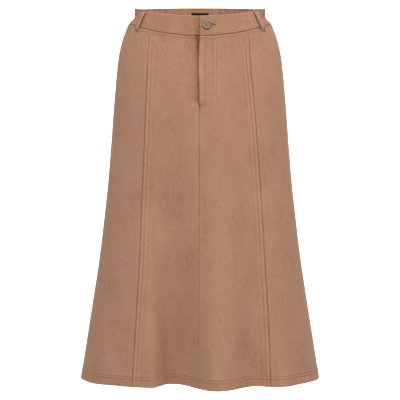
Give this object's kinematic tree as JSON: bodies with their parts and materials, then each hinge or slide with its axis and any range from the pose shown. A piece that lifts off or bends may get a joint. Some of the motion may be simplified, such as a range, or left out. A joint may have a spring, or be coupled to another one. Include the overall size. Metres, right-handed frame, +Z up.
{
  "type": "a-line skirt",
  "caption": "Hollow A-line midi skirt with front and back gores, flat front waistband, elasticated back, fly and shank button.",
  "frame": {"origin": "centre of the waist opening, at the height of the waistband's middle at the sides, where a waist or a form holds the skirt", "axes": "+Z up out of the waist, -Y out of the front, +X towards the wearer's left"},
  "size_m": [0.505, 0.3254, 0.7819],
  "materials": {
    "suede": "matt, napped",
    "tape": "woven",
    "metal": "antique, satin",
    "label": "plain woven"
  },
  "bodies": {
    "root": {"front_side_right": "suede", "front_centre_right": "suede", "front_centre_left": "suede", "front_side_left": "suede", "back_side_left": "suede", "back_centre_left": "suede", "back_centre_right": "suede", "back_side_right": "suede", "waistband_front_left": "suede", "waistband_front_right": "suede", "waistband_back": "suede", "belt_loop_left": "suede", "belt_loop_right": "suede", "fly_shield": "suede", "zip": "tape", "button": "metal", "button_tack": "metal", "back_label": "label"}
  },
  "joints": []
}
